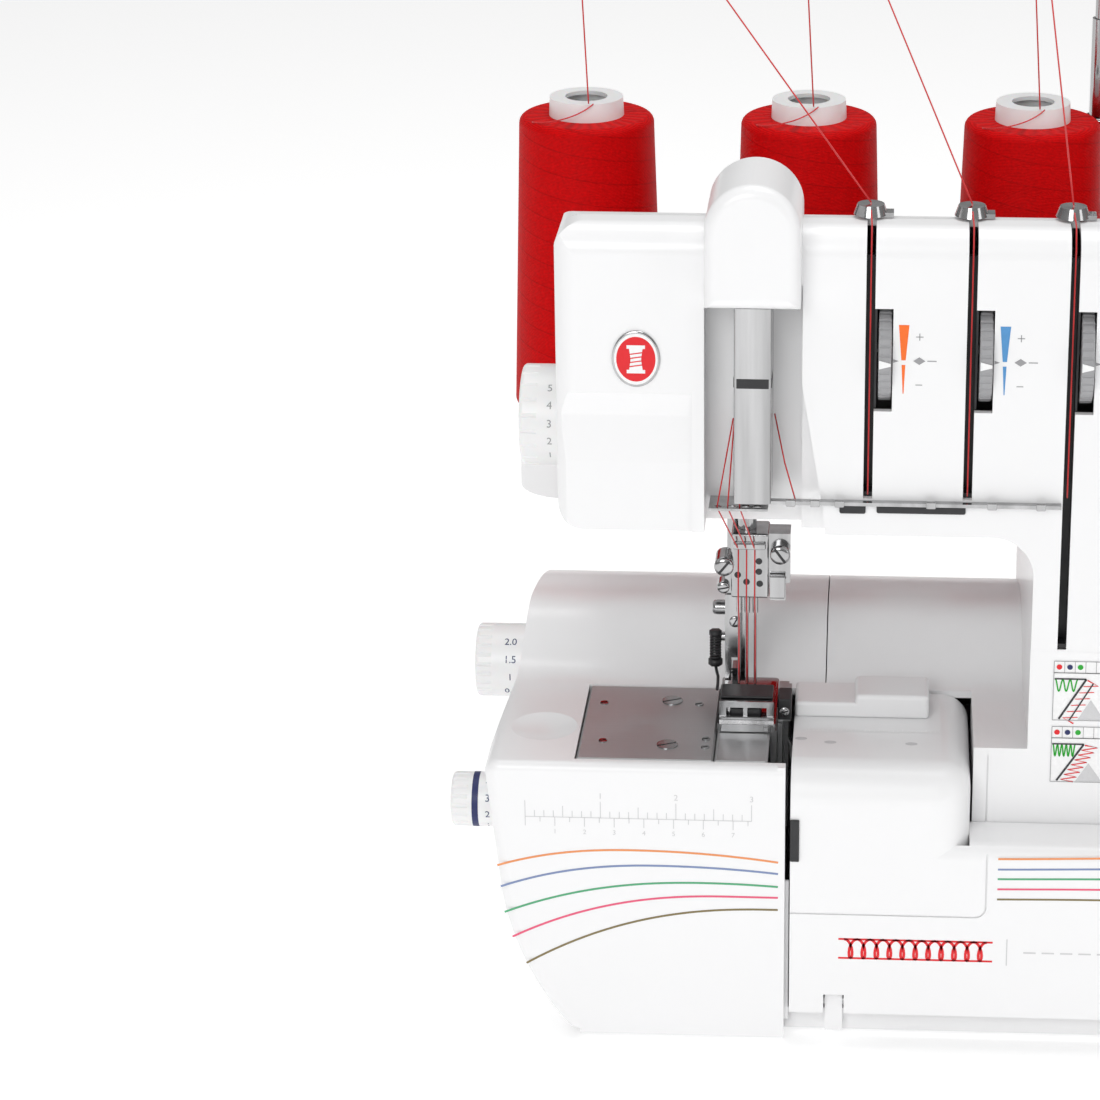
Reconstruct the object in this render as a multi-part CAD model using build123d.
from build123d import *
import os

# Five-thread serger. Millimetres, x to the right, y away from the user, z up, table at z = 0.
# Everything is drawn in the machine's own axes: x = 0 on the middle of the head, y = 0 on the front face.
# The last step moves it so that the origin is under the middle of the whole object.

# Casing
wall = 2.6
seam = 0.4
front_left = -158.8
base_right = 140.0
base_back = 188.0
bed_top = 105.0
hump_top = 123.6
base_low = 3.0
head_left = -134.0
head_right = 133.0
head_front = 18.0
head_back = 152.0
head_low = 182.0
head_crown = 286.3
crown_back = 38.0
column_left = 24.0
column_front = 20.0
panel_low = 142.0
face_depth = 34.0
left_cover_right = -57.0
hump_seam_x = -45.2
bulge_right = 5.0
ledge_top = 77.5
seam_low = 13.5

# Sewing line
needle_x = -72.0
needle_y = 51.0
needle_gap = 2.8
presser_x = -76.5
presser_y = 62.0
needle_bar_r = 3.2
presser_bar_r = 3.0
plate_left = -127.5
plate_split = -81.5
plate_right = -63.2
plate_front = 5.0
plate_back = 65.0
plate_thick = 2.0
recess_left = -85.0
recess_right = -53.0
recess_top = 268.0

# Tension wheels
tension_count = 5
tension_first = -31.2
tension_pitch = 32.7
slot_half = 1.5
slot_low = 195.0
wheel_z = 243.0
wheel_y = 30.75
wheel_r = 17.0
wheel_offset = 4.9
wheel_half = 2.1
tension_axle_r = 2.0
running_fit = 0.05

# Drive
shaft_y = 108.0
shaft_z = 88.0
shaft_r = 6.0
handwheel_r = 44.0
motor_y = 155.0
motor_z = 48.0
motor_r = 24.0
motor_shaft_r = 2.5
big_pulley_r = 34.0
small_pulley_r = 8.0
belt_left = 119.0
belt_right = 127.0
belt_thick = 2.0

# Spool stand
cone_count = 5
cone_first = -140.6
cone_pitch = 84.2
cone_y = 222.0
cone_low = 156.0
cone_top = 271.0
cone_low_r = 29.0
cone_top_r = 25.5
core_top = 278.0
tray_left = -167.0
tray_right = 223.0
tray_front = 193.0
tray_back = 251.0
tray_low = 126.0
tray_top = 150.0
pole_x = 54.7
pole_y = 245.0
outer_top = 256.0
middle_top = 305.0
bar_z = 398.0
bar_y = 222.0
guide_first = -145.0
guide_pitch = 83.6

# Dials on the left side
dial_left = -174.0
length_dial = (40.0, 72.0, 9.5)
feed_dial = (120.0, 90.0, 13.5)
pressure_dial = (70.0, 204.0, 17.5)

# Looper cover
cover_left = -55.2
cover_right = 139.5
hinge_y = 5.0
hinge_z = 16.0
hinge_r = 1.5

centre_x = (dial_left + cone_first + (cone_count - 1) * cone_pitch + cone_low_r) / 2
centre_y = tray_back / 2


def block(x, y, z):
    """A box from three (low, high) pairs."""
    middle = Pos((x[0] + x[1]) / 2, (y[0] + y[1]) / 2, (z[0] + z[1]) / 2)
    return middle * Box(x[1] - x[0], y[1] - y[0], z[1] - z[0])


def soft_block(x, y, z, radius):
    """A box with every edge rounded."""
    body = block(x, y, z)
    return fillet(body.edges(), radius)


def rod_x(x, y, z, radius):
    """A round bar along x between the pair x."""
    return Pos((x[0] + x[1]) / 2, y, z) * Rot(0, 90, 0) * Cylinder(radius, x[1] - x[0])


def rod_y(x, y, z, radius):
    """A round bar along y between the pair y."""
    return Pos(x, (y[0] + y[1]) / 2, z) * Rot(90, 0, 0) * Cylinder(radius, y[1] - y[0])


def rod_z(x, y, z, radius):
    """A round bar along z between the pair z."""
    return Pos(x, y, (z[0] + z[1]) / 2) * Cylinder(radius, z[1] - z[0])


def taper_z(x, y, z, low_radius, top_radius):
    """A cone frustum along z between the pair z."""
    return Pos(x, y, (z[0] + z[1]) / 2) * Cone(low_radius, top_radius, z[1] - z[0])


def side_extrusion(x, outline):
    """A face drawn as (y, z), extruded along x between the pair x."""
    return extrude(Plane.YZ.offset(x[0]) * outline, x[1] - x[0])


def front_extrusion(y, outline):
    """A face drawn as (x, z), extruded along y between the pair y."""
    return extrude(Plane.XZ.offset(-y[1]) * outline, y[1] - y[0])


def round_corners(corners):
    """A polygon from (u, v, radius) corners, each rounded by its own radius."""
    outline = make_face(Polyline([(u, v) for u, v, radius in corners], close=True))
    for u, v, radius in corners:
        if radius > 0:
            outline = round_one(outline, u, v, radius)
    return outline


def round_one(outline, u, v, radius):
    """The outline with the corner nearest (u, v) rounded."""
    return fillet(outline.vertices().sort_by_distance((u, v, 0))[0], radius)


def bar_between(start, end, radius):
    """A thin round bar between two points."""
    path = Line(start, end)
    return sweep(Plane(origin=start, z_dir=path % 0) * Circle(radius), path=path)


def tension_x(index):
    return tension_first + index * tension_pitch


def cone_x(index):
    return cone_first + index * cone_pitch


def guide_x(index):
    return guide_first + index * guide_pitch


# ---------------------------------------------------------------- casing volumes


def base_volume(inset):
    """The bed and base as one lump, pulled in by inset on every side but the bottom."""
    left = front_left + inset
    top = bed_top - inset
    lower_left = make_face(
        [
            Line((base_right - inset, base_low), (base_right - inset, 150)),
            Line((base_right - inset, 150), (left - 4.9, 150)),
            Line((left - 4.9, 150), (left + 5.6, 54)),
            ThreePointArc((left + 5.6, 54), (left + 11.3, 33), (left + 28.8, base_low)),
            Line((left + 28.8, base_low), (base_right - inset, base_low)),
        ]
    )
    hump = make_face(
        [
            Line((inset, base_low), (inset, top)),
            Line((inset, top), (65, top)),
            Spline((65, top), (106, hump_top - inset), tangents=[(1, 0), (1, 0)]),
            Spline((106, hump_top - inset), (base_back - inset, 94), tangents=[(1, 0), (1, -0.45)]),
            Line((base_back - inset, 94), (base_back - inset, base_low)),
            Line((base_back - inset, base_low), (inset, base_low)),
        ]
    )
    hump = round_one(hump, inset, top, 3 - inset)
    plan = round_corners(
        [
            (left - 0.4, inset, 5 - inset),
            (base_right - inset, inset, 0),
            (base_right - inset, base_back - inset, 12),
            (left + 13, base_back - inset, 12),
        ]
    )
    lump = front_extrusion((-1, base_back + 1), lower_left)
    lump &= side_extrusion((front_left - 20, base_right + 1), hump)
    upper_left = lump.edges().filter_by(lambda edge: edge.center().X < -140 and edge.center().Z > 94)
    lump = fillet(upper_left.filter_by(lambda edge: edge.length > 15), 5 - inset)
    return lump & extrude(plan, 200)


def head_volume(inset):
    """The arm and the column as one lump, pulled in by inset."""
    front_view = round_corners(
        [
            (head_left + inset, head_low + inset, 9 - inset),
            (column_left + inset, head_low + inset, 14 + inset),
            (column_left + inset, ledge_top, 0),
            (head_right - inset, ledge_top, 0),
            (head_right - inset, head_crown - inset, 5),
            (head_left + inset, head_crown - inset, 9 - inset),
        ]
    )
    side_view = round_corners(
        [
            (head_front + inset, ledge_top, 0),
            (head_front + inset, head_crown - inset, 9 - inset),
            (crown_back, head_crown - inset, 30),
            (140, head_crown - 38 - inset, 14),
            (head_back - inset, 228, 5),
            (head_back - inset, ledge_top, 0),
        ]
    )
    plan = round_corners(
        [
            (head_left + inset, head_front + inset, 7 - inset),
            (head_right - inset, head_front + inset, 3.2),
            (head_right - inset, head_back - inset, 8),
            (head_left + inset, head_back - inset, 12),
        ]
    )
    lump = front_extrusion((head_front - 1, head_back + 1), front_view)
    lump &= side_extrusion((head_left - 1, head_right + 1), side_view)
    return lump & extrude(plan, 320)


def base_shell():
    return base_volume(0) - base_volume(wall) - block((-200, 200), (-5, 200), (0, base_low + 2))


def head_shell_whole():
    return head_volume(0) - head_volume(wall)


# ---------------------------------------------------------------- casing pieces


def base_pan():
    """Bottom tray behind the looper cover, with the two lower halves of the cover's hinges."""
    outer = soft_plate((-126, 137), (8, 185), (base_low, 11), 12.6)
    inner = soft_plate((-123, 134), (11, 182), (base_low + 2.5, 12), 10)
    pan = outer - inner
    pan += block((-55.8, 137), (8, 12), (base_low, 11))
    for x in hinge_places():
        pan += block((x, x + 6), (3.3, 12), (5, 18.6))
    for x in hinge_places():
        pan -= rod_x((x - 1, x + 7), hinge_y, hinge_z, hinge_r)
    return pan


def soft_plate(x, y, z, radius):
    """A box with its four upright edges rounded."""
    body = block(x, y, z)
    return fillet(body.edges().filter_by(Axis.Z), radius)


def hinge_places():
    return (-43.0, 118.0)


def cover_hinge_pins():
    pins = [rod_x((x - 6, x + 12), hinge_y, hinge_z, hinge_r) for x in hinge_places()]
    return pins


def rubber_feet():
    feet = []
    for x in (-112.0, 118.0):
        for y in (30.0, 168.0):
            foot = taper_z(x, y, (0, base_low), 10, 9)
            feet.append(foot)
    return feet


def bed_cover():
    """Left front cover: front face, left side and the top around the plates."""
    shell = base_shell()
    body = shell & block((-170, left_cover_right), (-1, 66), (2, 130))
    body += shell & block((-170, hump_seam_x), (66, base_back), (2, 130))
    body += block((left_cover_right - wall, left_cover_right), (0.6, 4.5), (base_low, bed_top))
    body += block((-127, left_cover_right), (0.6, 7.8), (base_low, base_low + wall))
    body -= block((plate_left - 0.5, -50), (plate_front - 0.5, plate_back + 0.5), (98, 110))
    body -= Pos(-140.5, 30, bed_top + 31) * Sphere(33)
    body -= rod_x((-170, -140), length_dial[0], length_dial[1], length_dial[2] + 0.5)
    body -= rod_x((-170, -140), feed_dial[0], feed_dial[1], feed_dial[2] + 0.5)
    return body


def base_housing():
    """Rear and right part of the base, under and behind the column."""
    shell = base_shell()
    body = shell & block((hump_seam_x + seam, 150), (66.4, 190), (2, 130))
    body += shell & block((bulge_right + 1, column_left + 12), (column_front, 66.4), (50, 130))
    body += shell & block((head_right - 4, 150), (column_front, 66.4), (2, 130))
    body += block((bulge_right + 1, bulge_right + 3.5), (column_front + wall, 66.4), (20, bed_top - wall))
    body -= block((column_left + 10, head_right - wall), (30, head_back - wall), (95, 130))
    body -= block((128, 150), (160.9, 178.1), (65.5, 82.5))
    body -= block((128, 150), (161, 181), (22, 40))
    body -= rod_x((130, 145), shaft_y, shaft_z, 10)
    body -= head_volume(0)
    return body


def column_housing():
    """Front and sides of the column below the tension panel, down to the looper area."""
    shell = head_shell_whole()
    body = shell & block((column_left - 2, 150), (face_depth + seam, 200), (bed_top, 165 - seam))
    body -= base_volume(0)
    body += shell & block((column_left - 2, 150), (10, face_depth + seam), (ledge_top + 1, panel_low - seam))
    body += block((bulge_right + 1, head_right), (column_front, column_front + wall), (20, ledge_top + 2))
    body += block((bulge_right + 1, column_left + 1), (column_front, column_front + wall), (60, bed_top - wall))
    body -= inset_groove(column_front - 1, column_front + 0.7) & block((0, 20), (0, 30), (ledge_top, 120))
    return body - block((column_left - 5, 140), (10, column_front), (60, panel_low - seam))


def face_cover():
    """Front of the head left of the third tension slot, with the recess for the thread take-up."""
    shell = head_shell_whole()
    last = tension_x(2)
    flare_right = recess_right + 9
    box_left, box_right = recess_left - wall, flare_right + wall
    body = shell & block((-150, last - slot_half), (0, face_depth), (panel_low, 300))
    body += block((box_left, box_right), (head_front + 0.8, face_depth), (184, recess_top + wall))
    body -= block((recess_left, recess_right), (10, 31), (150, recess_top))
    flare = make_face(
        Polyline(
            [(recess_right - 1, 240), (recess_right - 1, 170), (flare_right, 170), (flare_right - 2, 192)],
            close=True,
        )
    )
    body -= front_extrusion((10, 24), flare)
    step = round_corners(
        [(10, 228, 0), (head_front, 232, 2), (20.2, 222, 3), (19, 206, 4), (19, 170, 0), (10, 170, 0)]
    )
    body -= side_extrusion((-150, recess_left - 4), step)
    for index in range(3):
        body -= thread_slot(index)
        body -= wheel_window(index)
    return body


def tension_cover():
    """Front of the head right of the third tension slot."""
    shell = head_shell_whole()
    body = shell & block((tension_x(2) + slot_half, 150), (0, face_depth), (panel_low, 300))
    for index in range(2, tension_count):
        body -= thread_slot(index)
        body -= wheel_window(index)
    return body


def thread_slot(index):
    x = tension_x(index)
    return block((x - slot_half, x + slot_half), (10, face_depth + 10), (slot_low, 300))


def wheel_window(index):
    x = tension_x(index) + wheel_offset
    window = block((x - wheel_half - 0.4, x + wheel_half + 0.4), (10, 24), (wheel_z - 17.5, wheel_z + 17.5))
    return window + block((x - wheel_half - 2.6, x), (10, 24), (wheel_z - 17.5, wheel_z + 17.5))


def head_shell():
    """Top, rear and underside of the arm."""
    shell = head_shell_whole()
    body = shell & block((-150, 150), (face_depth + seam, 200), (165, 300))
    body -= block((-86, -56), (40, 68), (178, 190))
    body -= rod_x((-140, -128), pressure_dial[0], pressure_dial[1], pressure_dial[2] + 0.5)
    body -= rod_y(-100, (140, 160), 215, 5)
    return body


def slot_liners():
    """Black channels behind the tension slots."""
    liners = []
    for index in range(tension_count):
        x = tension_x(index)
        top = 276
        low = panel_low if index == 2 else slot_low
        body = block((x - 2.9, x + 2.2), (head_front + wall + 0.1, 28), (low, top))
        body -= block((x - slot_half, x + slot_half), (10, 26.5), (low + 1.5, top + 1))
        liners.append(body)
    return liners


def take_up_cap():
    """White dome over the top of the take-up recess."""
    width = recess_right - recess_left - 1
    middle = (recess_left + recess_right) / 2
    outer = round_corners(
        [
            (middle - width / 2, 263, 0),
            (middle + width / 2, 263, 0),
            (middle + width / 2, 304, width / 2 - 0.1),
            (middle - width / 2, 304, width / 2 - 0.1),
        ]
    )
    inner = offset(outer, -2.2)
    dome = front_extrusion((5, 42), outer)
    dome = fillet(dome.faces().sort_by(Axis.Y)[0].edges(), 4)
    dome -= front_extrusion((7.2, 39), inner)
    dome -= block((-100, -40), (7.2, 39), (255, 275)) & front_extrusion((7.2, 39), Pos(0, -8) * inner)
    return dome - head_volume(0)


def take_up_channel():
    """Bright channel that guides the needle threads down the recess."""
    body = block((-75, -62.8), (11, 30.9), (195, 262))
    body = fillet(body.edges().filter_by(Axis.Z).group_by(Axis.Y)[0], 1.2)
    body -= block((-73.8, -64), (12.2, 30), (190, 270))
    return body


def thread_rail():
    """Lower thread rail across the slots, with the needle thread guide."""
    rail = block((-63, tension_x(2) - 2), (15.2, head_front - 0.1), (193.4, 194.6))
    hooks = block((-83.6, -64), (19, 30.9), (189.4, 190.2))
    for x in (-80.5, -76.0, -71.5, -67.5):
        hooks -= rod_z(x, 21.5, (185, 195), 1.3)
    return [rail, hooks]


def top_thread_guides():
    """Bright buttons with a side tab on the crown, one above each slot."""
    guides = []
    for index in range(tension_count):
        x = tension_x(index)
        button = rod_z(x - 0.5, 36, (283.5, 287.2), 2.4)
        button += taper_z(x - 0.5, 36, (287.2, 290.6), 5.6, 4.4)
        tab = block((x - 0.5, x + 7), (33.4, 38.6), (286.6, 288.2))
        guides.append((button + tab) - head_volume(0))
    return guides


def power_inlet():
    body = soft_plate((128, base_right + 0.8), (161.2, 180.8), (22.2, 39.8), 1)
    body -= block((base_right - 9, base_right + 2), (164, 178), (25, 37))
    for y in (168.0, 174.0):
        body += rod_x((130.5, 138), y, 31, 1.2)
    return body


def power_switch():
    """Rocker with a bore for the pin it tilts on."""
    rocker = block((135.5, base_right + 1.6), (161.6, 177.4), (66.8, 81.2))
    rocker = fillet(rocker.edges().filter_by(Axis.Y), 1)
    return rocker - rod_y(137, (161, 178), 74, 0.9)


# ---------------------------------------------------------------- frame and drive


def machine_frame():
    """Cast frame: floor, two walls with the shaft's bores, and the arm with the bar bosses."""
    frame = block((-122, 108), (26, 180), (14, 20))
    frame += block((95, 107), (60, 180), (20, 80))
    frame += block((95, 107), (70, 135), (20, 236))
    frame += block((-30, -20), (85, 130), (20, 100))
    frame += block((-118, 107), (70, 110), (200, 236))
    frame += block((-85, -64), (43, 70), (190.5, 202))
    frame += block((-85, -64), (43, 70), (226, 236))
    frame += block((-119, -100), (60, 70), (200, 214))
    frame += plate_posts()
    frame += looper_stands()
    frame += dial_plate()
    frame -= rod_x((-40, 120), shaft_y, shaft_z, shaft_r + running_fit)
    frame -= rod_x((90, 110), motor_y, motor_z, 5)
    frame -= rod_z(needle_x, needle_y, (180, 250), needle_bar_r + running_fit)
    frame -= rod_z(presser_x, presser_y, (180, 250), presser_bar_r + running_fit)
    frame -= rod_x((-125, -100), pressure_dial[0], pressure_dial[1], 3 + running_fit)
    frame -= rod_y(-100, (95, 115), 215, 3 + running_fit)
    return frame


def plate_posts():
    """Posts that carry the plates, as high as the plates' underside."""
    post_top = bed_top - plate_thick
    posts = block((-74, -68), (6, 12), (14, post_top)) + block((-74, -68), (6, 30), (14, 20))
    for x, y in ((-118, 29.8), (-123, 60), (-96, 60), (-96, 29.8)):
        posts += rod_z(x, y, (14, post_top), 3.5)
    return posts


def looper_stands():
    """Stands with the loopers' pivot pins."""
    stands = block((-38, -30), (54, 62), (14, 53)) + rod_y(-34, (42, 60), 48, 2)
    stands += block((-116, -108), (63, 71), (14, 49)) + rod_y(-112, (51, 69), 44, 2)
    return stands


def dial_plate():
    """Upright plate inside the left cover that carries the two lower dials."""
    plate = block((-139, -136), (30, 132), (34, 100)) + block((-139, -116), (40, 120), (34, 38))
    plate += block((-120, -116), (40, 120), (14, 38))
    for y, z, _ in (length_dial, feed_dial):
        plate -= rod_x((-145, -130), y, z, 3 + running_fit)
    return plate


def plate_screws():
    """Two large slotted screws and five small ones."""
    screws = []
    for x, y, radius in plate_screw_places():
        head = rod_z(x, y, (bed_top - 1, bed_top + 0.35), radius - 0.05)
        slot = Pos(x, y, bed_top + 0.2) * Rot(0, 0, 25) * Box(2 * radius + 1, 0.8, 0.8)
        screws.append(head - slot)
    return screws


def plate_screw_places():
    large, small = 3.6, 1.5
    return (
        (-98.0, 53.0, large),
        (-97.5, 17.0, large),
        (-121.5, 50.0, small),
        (-119.5, 19.0, small),
        (-88.5, 50.5, small),
        (-84.6, 22.0, small),
        (-84.6, 15.5, small),
    )


def bed_plate():
    plate = block((plate_left, plate_split), (plate_front, plate_back), (bed_top - plate_thick, bed_top))
    plate = chamfer(plate.faces().sort_by(Axis.Z)[-1].edges(), 0.7)
    for x, y, radius in plate_screw_places():
        plate -= rod_z(x, y, (bed_top - 1, bed_top + 1), radius)
    return plate


def needle_plate():
    """Plate with the needle slot and the two feed dog slots."""
    plate = block((plate_split + 0.4, plate_right), (plate_front, plate_back), (bed_top - plate_thick, bed_top))
    plate = chamfer(plate.faces().sort_by(Axis.Z)[-1].edges(), 0.7)
    plate -= block((needle_x - 4.4, needle_x + 4.4), (needle_y - 2, needle_y + 2), (100, 110))
    for x in feed_rows():
        plate -= block((x - 1.3, x + 1.3), (33, 62.5), (100, 110))
    return plate


def feed_rows():
    return (needle_x - 6.6, needle_x + 6.2)


def feed_dogs():
    """Two toothed rows on one carrier."""
    left, right = feed_rows()
    body = block((left - 0.8, right + 0.8), (60.5, 68), (86, 94))
    for x in (left, right):
        body += block((x - 0.8, x + 0.8), (37, 61), (92, 103.8))
        body += block((x - 0.8, x + 0.8), (60.4, 68), (90, 100))
        for step in range(8):
            tooth = 38.5 + step * 2.9
            body += side_extrusion(
                (x - 0.8, x + 0.8),
                make_face(Polyline([(tooth, 103.8), (tooth + 1.9, 103.8), (tooth + 1.9, 104.9)], close=True)),
            )
    return body


def lower_knife():
    return block((plate_right + 0.1, -61.0), (30, 50), (82, bed_top))


def upper_knife():
    """Moving knife: a blade and its black holder."""
    blade = block((-60.8, -59.2), (36, 48), (84, 105.2))
    holder = block((-60.8, -56.4), (38, 52), (105.2, 113))
    arm = block((-60.8, -57.4), (48.2, 54), (60, 113))
    return blade + holder + arm


def upper_looper():
    """Bent arm from the right, with its tip beside the needles."""
    return looper((-34, 46, 48), (-54, 84), (-57.5, 96), 1.0)


def lower_looper():
    """Bent arm from the left."""
    return looper((-112, 55, 44), (-94, 84), (-86, 95), 1.0)


def looper(pivot, bend, tip, thin):
    x, y, z = pivot
    arm = make_face(
        Polyline([(x - 3, z), (bend[0] - 2, bend[1]), tip, (bend[0] + 3, bend[1] - 3), (x + 3, z)], close=True)
    )
    body = front_extrusion((y - thin, y + thin), arm)
    body += rod_y(x, (y - 3, y + 3), z, 5)
    return body - rod_y(x, (y - 5, y + 5), z, 2 + running_fit)


def main_shaft():
    """Shaft with the belt pulley and the eccentrics that work loopers, knife and feed."""
    shaft = rod_x((-50, 150), shaft_y, shaft_z, shaft_r)
    for x in (-44.0, -10.0, 15.0, 40.0):
        shaft += rod_x((x, x + 8), shaft_y + 3, shaft_z, 11)
    pulley = rod_x((belt_left - 1.5, belt_right + 1.5), shaft_y, shaft_z, big_pulley_r + 1)
    groove = rod_x((belt_left, belt_right), shaft_y, shaft_z, big_pulley_r + 3)
    groove -= rod_x((belt_left, belt_right), shaft_y, shaft_z, big_pulley_r)
    return shaft + (pulley - groove)


def handwheel():
    wheel = rod_x((base_right + 1.2, base_right + 25), shaft_y, shaft_z, handwheel_r)
    wheel = fillet(wheel.edges(), 4)
    wheel -= rod_x((base_right + 19, base_right + 30), shaft_y, shaft_z, handwheel_r - 9)
    for step in range(24):
        angle = Rot(step * 15, 0, 0)
        groove = rod_x((base_right - 1, base_right + 30), 0, handwheel_r + 0.6, 1.6)
        wheel -= Pos(0, shaft_y, shaft_z) * angle * groove
    return wheel - rod_x((130, 150), shaft_y, shaft_z, shaft_r)


def motor():
    body = rod_x((42, 94.9), motor_y, motor_z, motor_r)
    body = fillet(body.edges(), 3)
    body -= rod_x((60, 100), motor_y, motor_z, motor_shaft_r + running_fit)
    return body


def motor_pulley():
    """Motor shaft and its small pulley."""
    shaft = rod_x((66, 128), motor_y, motor_z, motor_shaft_r)
    pulley = rod_x((belt_left - 1.5, belt_right + 1.5), motor_y, motor_z, small_pulley_r + 1)
    pulley -= rod_x((belt_left, belt_right), motor_y, motor_z, small_pulley_r + 3) - rod_x(
        (belt_left, belt_right), motor_y, motor_z, small_pulley_r
    )
    return shaft + pulley


def drive_belt():
    inside = belt_outline(0.3)
    outside = belt_outline(0.3 + belt_thick)
    return side_extrusion((belt_left + 0.5, belt_right - 0.5), outside - inside)


def belt_outline(gap):
    """The tight loop around both pulleys, gap away from them."""
    big = Pos(shaft_y, shaft_z) * Circle(big_pulley_r + gap)
    small = Pos(motor_y, motor_z) * Circle(small_pulley_r + gap)
    return make_hull(ShapeList([*big.edges(), *small.edges()]))


# ---------------------------------------------------------------- needle and presser


def needle_bar():
    return rod_z(needle_x, needle_y, (171.5, 276), needle_bar_r)


def needle_clamp():
    """Clamp block with its screws and the threader block on the right."""
    body = soft_block((-77.3, -64.5), (44, 57.4), (148, 171.4), 0.8)
    body += rod_y(-79.6, (43, 52), 160, 3.4)
    body += rod_y(-79.9, (45, 50), 151.5, 2.2)
    body += block((-79.5, -77), (46, 51), (149, 163))
    body += block((-64.7, -57.2), (46, 55), (153, 171))
    body += rod_y(-60.6, (43.6, 47), 164.5, 3.4)
    body += block((-64, -58.6), (45, 52), (147, 155))
    for x, z in ((-75, 156.5), (-72, 154), (-67.8, 161.6), (-67.8, 157.8), (-67.5, 153.4)):
        body -= rod_y(x, (43, 45.4), z, 1.1)
    for x in needle_places():
        body -= rod_z(x, needle_y, (140, 153), 1.0)
    return body


def needle_places():
    return (needle_x - needle_gap, needle_x, needle_x + needle_gap)


def needles():
    group = []
    for x in needle_places():
        shank = rod_z(x, needle_y, (140, 153), 1.0)
        blade = rod_z(x, needle_y, (114, 140), 0.5)
        point = taper_z(x, needle_y, (111, 114), 0.1, 0.5)
        group.append(shank + blade + point)
    return group


def presser_bar():
    return rod_z(presser_x, presser_y, (143, 262), presser_bar_r)


def presser_ankle():
    """Ankle on the bar, with the pin that carries the sole."""
    body = block((-80, -73), (58.6, 66), (119.5, 143))
    body += rod_x((-83, -80), presser_y, 137, 2.6)
    body += rod_x((-82.4, -80), presser_y, 126, 1.6)
    for x in ((-80, -77.8), (-75.2, -73)):
        body += block(x, (59, 65.4), (110.6, 119.6))
    return body + rod_x((-79.8, -73.2), presser_y, 113, 1)


def foot_sole():
    """Sole with the needle slot, two front windows and the tongue on the ankle's pin."""
    left, right, low = -81.2, -61.4, bed_top + 0.35
    body = block((left, right), (28, 68), (low, low + 2.6))
    body = fillet(body.edges().filter_by(Axis.Z), 1.5)
    body += block((left + 0.6, right - 0.6), (30, 44), (low + 2.6, 115.6))
    body -= block((left + 3, right - 3), (28, 46), (low + 4.2, 113.4))
    body += block((-72.4, -71), (30, 44), (low + 2.6, 115.6))
    body += block((left + 0.6, left + 2.4), (43.9, 58), (low + 2.6, 111))
    body += block((right - 2.4, right - 0.6), (43.9, 58), (low + 2.6, 111))
    body -= block((needle_x - 4.6, needle_x + 4.6), (needle_y - 3.4, needle_y + 3.4), (100, 120))
    body += block((-77.5, -75.5), (58.8, 65.6), (low + 2.5, 115.4))
    return body - rod_x((-79, -74), presser_y, 113, 1 + running_fit)


def foot_lifter():
    """Lever behind the head that raises the presser bar."""
    pivot_x, pivot_z = -100.0, 215.0
    body = rod_y(pivot_x, (96, 158), pivot_z, 3)
    lever = round_corners(
        [(-106, 221, 5), (-94, 221, 5), (-92, 176, 5), (-104, 170, 5)]
    )
    return body + front_extrusion((154.5, 158), lever)


# ---------------------------------------------------------------- wheels and dials


def tension_wheel(index):
    """Thin ribbed wheel whose rim shows through its window."""
    x = tension_x(index) + wheel_offset
    wheel = rod_x((x - wheel_half, x + wheel_half), wheel_y, wheel_z, wheel_r)
    wheel = fillet(wheel.edges(), 0.6)
    for step in range(36):
        notch = Pos(0, wheel_y, wheel_z) * Rot(step * 10, 0, 0) * rod_x((x - 3, x + 3), 0, wheel_r + 0.3, 0.7)
        wheel -= notch
    return wheel - rod_x((x - 5, x + 5), wheel_y, wheel_z, tension_axle_r + running_fit)


def tension_axle():
    """Rod through the five wheels."""
    left = tension_x(0) - 10
    right = tension_x(tension_count - 1) + 16
    axle = rod_x((left, right), wheel_y, wheel_z, tension_axle_r)
    for x in (left + 2, right - 4):
        axle += block((x, x + 2.5), (wheel_y, 69.9), (wheel_z - 20, wheel_z + 3))
    return axle


def dial(place, left, right, shaft_right, rib_count):
    """Round dial on a shaft along x, with a ribbed outer end."""
    y, z, radius = place
    body = rod_x((left, right), y, z, radius)
    body = fillet(body.edges().group_by(Axis.X)[0], 1.6)
    for step in range(rib_count):
        rib = Pos(0, y, z) * Rot(step * 360 / rib_count, 0, 0) * rod_x((left - 1, left + 6), 0, radius + 0.4, 0.9)
        body -= rib
    return body + rod_x((right, shaft_right), y, z, 3)


# ---------------------------------------------------------------- looper cover


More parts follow.
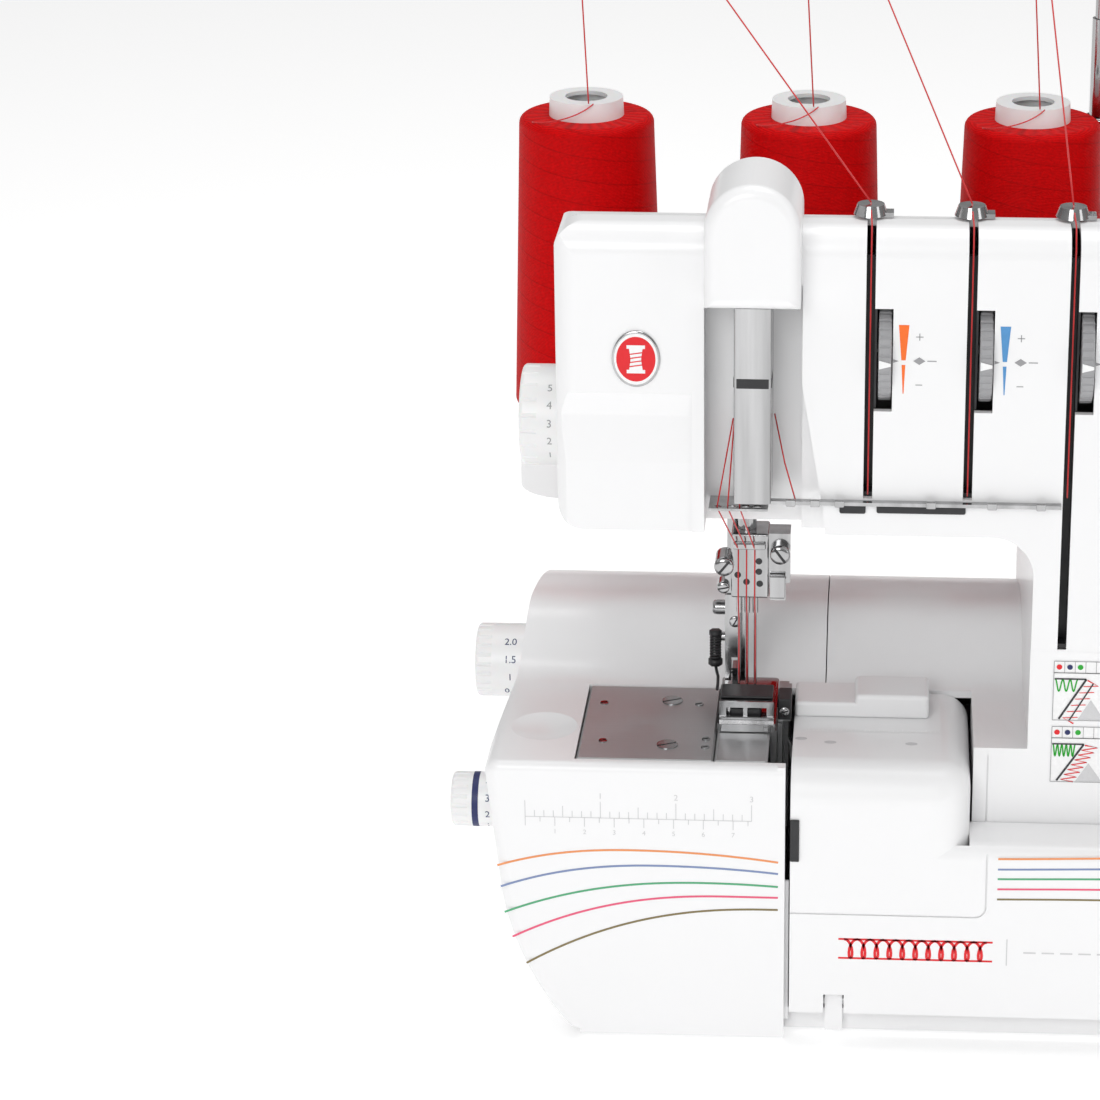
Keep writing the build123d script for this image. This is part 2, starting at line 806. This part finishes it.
def front_cover():
    """Opening cover of the looper area: flat front, ledge and the raised left part."""
    outer = block((cover_left, cover_right), (0, column_front - 0.4), (seam_low, ledge_top))
    outer = fillet(outer.edges().filter_by(Axis.X).group_by(Axis.Z)[-1].sort_by(Axis.Y)[0], 5)
    body = outer - block((cover_left + wall, cover_right - wall), (wall, 30), (10, ledge_top - wall))
    body -= block((cover_left, bulge_right), (wall, 30), (60, 90))
    bulge = block((cover_left, bulge_right), (0.01, 66), (52, bed_top - 1))
    bulge = fillet(bulge.edges().filter_by(Axis.Y).group_by(Axis.Z)[-1].sort_by(Axis.X)[-1], 10)
    bulge = fillet(bulge.edges().filter_by(Axis.X).group_by(Axis.Z)[-1].sort_by(Axis.Y)[0], 12)
    hollow = block((cover_left + wall, bulge_right - wall), (wall, 70), (40, bed_top - 1 - wall))
    hollow = fillet(hollow.edges().filter_by(Axis.X).group_by(Axis.Z)[-1].sort_by(Axis.Y)[0], 10)
    hollow = fillet(hollow.edges().filter_by(Axis.Y).group_by(Axis.Z)[-1].sort_by(Axis.X)[-1], 8)
    body += bulge - hollow
    body -= block((cover_left - 1, cover_left + wall + 1), (30, 70), (40, bed_top - 1 - wall))
    body -= block((cover_left - 1, bulge_right + 1), (wall, 70), (51, 54))
    body -= inset_groove(-1, 0.7)
    for x in hinge_places():
        body -= block((x - 0.5, x + 6.5), (-1, 4), (10, 20.5))
        for side in (x - 5, x + 6.6):
            body += block((side, side + 4.4), (1, 8), (14, 19))
        body -= rod_x((x - 12, x + 15), hinge_y, hinge_z, hinge_r + running_fit)
    return body


def inset_groove(front, back):
    """Narrow groove that runs down at the right and turns left along the bottom of the raised part."""
    outer = round_corners([(-80, 51, 0), (11.2, 51, 4.2), (11.2, 111, 3), (-80, 111, 0)])
    inner = round_corners([(-81, 51.6, 0), (10.6, 51.6, 3.6), (10.6, 110.4, 2.4), (-81, 110.4, 0)])
    return front_extrusion((front, back), outer - inner)


def knife_guard():
    """Raised guard and cloth guide on top of the looper cover."""
    low = bed_top - 0.99
    guard = soft_block((cover_left, -9), (44, 62), (low, 109.5), 1.2)
    raised = soft_block((-34.5, -9), (44, 62), (low + 1, 112.5), 1.5)
    return guard + raised


def cover_latch():
    return soft_block((cover_left, cover_left + 3), (-0.9, -0.02), (71, 86.5), 0.35)


# ---------------------------------------------------------------- spool stand


def spool_stand():
    """Tray behind the head that carries the cones and the pole, with its bracket to the column."""
    tray = soft_plate((tray_left, tray_right), (tray_front, tray_back), (tray_low, tray_top), 18)
    tray = fillet(tray.faces().sort_by(Axis.Z)[-1].edges(), 5)
    hollow = soft_plate(
        (tray_left + wall, tray_right - wall),
        (tray_front + wall, tray_back - wall),
        (tray_low - 1, tray_top - wall),
        15,
    )
    body = tray - hollow
    body += rod_z(pole_x, pole_y, (tray_low, tray_top - 1), 5.9)
    body += block((30, 125), (head_back, tray_front), (tray_low + 1, tray_top - 6))
    return body - rod_z(pole_x, pole_y, (tray_low - 1, tray_top + 1), 5.5)


def spool_pins():
    pins = []
    for index in range(cone_count):
        pins.append(rod_z(cone_x(index), cone_y, (tray_top, 262), 3.5))
    return pins


def cone_holders():
    """Tapered seats under the cones."""
    seats = []
    for index in range(cone_count):
        x = cone_x(index)
        seat = taper_z(x, cone_y, (tray_top + 3, 172), 16, 13.5) + rod_z(x, cone_y, (tray_top, tray_top + 3), 25)
        seats.append(seat - rod_z(x, cone_y, (140, 180), 3.5))
    return seats


def tube_outside(x):
    return taper_z(x, cone_y, (tray_top + 3.4, core_top), 19.5, 13.9)


def cone_tubes():
    """Tapered white tubes inside the windings."""
    tubes = []
    for index in range(cone_count):
        x = cone_x(index)
        inner = taper_z(x, cone_y, (tray_top + 3, core_top - 1.5), 17.5, 11.8)
        tubes.append(tube_outside(x) - inner - rod_z(x, cone_y, (core_top - 5, core_top + 1), 8))
    return tubes


def thread_cones():
    """Wound thread, rounded at both ends."""
    windings = []
    for index in range(cone_count):
        x = cone_x(index)
        winding = taper_z(x, cone_y, (cone_low, cone_top), cone_low_r, cone_top_r)
        windings.append(fillet(winding.edges(), 3) - tube_outside(x))
    return windings


def pole_outer():
    tube = rod_z(pole_x, pole_y, (tray_low, outer_top), 5.5)
    collar = rod_z(pole_x, pole_y, (outer_top, 267), 5.7)
    return tube + collar - rod_z(pole_x, pole_y, (tray_low + 2, 270), 4.5 + running_fit)


def pole_middle():
    tube = rod_z(pole_x, pole_y, (170, middle_top), 4.5)
    return tube - rod_z(pole_x, pole_y, (171, middle_top + 1), 3.5 + running_fit)


def pole_inner():
    return rod_z(pole_x, pole_y, (225, bar_z), 3.5)


def guide_bar():
    """Flat bar over the cones, held by a clamp on top of the pole."""
    bar = soft_plate((-152, 197), (bar_y - 3, bar_y + 3), (bar_z - 3, bar_z), 2.5)
    clamp = soft_plate((pole_x - 7, pole_x + 7), (bar_y - 5, 250.9), (bar_z - 8, bar_z + 1), 3)
    return bar + clamp - rod_z(pole_x, pole_y, (bar_z - 10, bar_z), 3.5)


def guide_loops():
    """Wire eyes above the guide bar, one over each cone."""
    eyes = []
    for index in range(cone_count):
        eye = Pos(guide_x(index), bar_y - 5, bar_z + 0.85) * Torus(3.6, 0.8)
        stem = rod_y(guide_x(index), (bar_y - 1.4, bar_y + 2.4), bar_z + 0.85, 0.5)
        eyes.append(eye + stem)
    return eyes


def sewing_threads():
    """Threads from the cones to the eyes and down to the top guides."""
    threads = []
    for index in range(cone_count):
        eye = Vector(guide_x(index), bar_y - 5, bar_z - 4.2)
        cone = Vector(cone_x(index), cone_y - 12.5, core_top + 0.6)
        guide = Vector(tension_x(index) - 0.5, 36, 291.4)
        threads.append(bar_between(cone, eye + Vector(-1, 0, 0), 0.3))
        threads.append(bar_between(guide, eye + Vector(1, 0, 0), 0.3))
    return threads


# ---------------------------------------------------------------- writing the sub-parts


def place(shape):
    """Move a sub-part, or a group of separate solids, into the object's frame."""
    move = Pos(-centre_x, -centre_y, 0)
    if isinstance(shape, list):
        return Compound([solid for one in shape for solid in (move * one).solids()])
    return Compound((move * shape).solids())


def write(name, shape):
    export_step(place(shape), os.path.join("parts", name + ".step"))


os.makedirs("parts", exist_ok=True)
single = (
    base_pan, cover_hinge_pins, rubber_feet, bed_cover, base_housing, column_housing, face_cover,
    tension_cover, head_shell, slot_liners, take_up_cap, take_up_channel, thread_rail,
    top_thread_guides, power_inlet, power_switch, machine_frame, plate_screws, bed_plate,
    needle_plate, feed_dogs, lower_knife, upper_knife, upper_looper, lower_looper, main_shaft,
    handwheel, motor, motor_pulley, drive_belt, needle_bar, needle_clamp, needles, presser_bar,
    presser_ankle, foot_sole, foot_lifter, tension_axle, front_cover, knife_guard, cover_latch,
    spool_stand, spool_pins, cone_holders, cone_tubes, thread_cones, pole_outer, pole_middle,
    pole_inner, guide_bar, guide_loops, sewing_threads,
)
for build in single:
    print(build.__name__, flush=True)
    write(build.__name__, build())
for index in range(tension_count):
    write(f"tension_wheel_{index + 1}", tension_wheel(index))
write("stitch_length_dial", dial(length_dial, dial_left, -157.0, -136.0, 18))
write("differential_dial", dial(feed_dial, dial_left, -154.0, -136.0, 24))
write("pressure_dial", dial(pressure_dial, -150.0, -132.5, -104.0, 20))
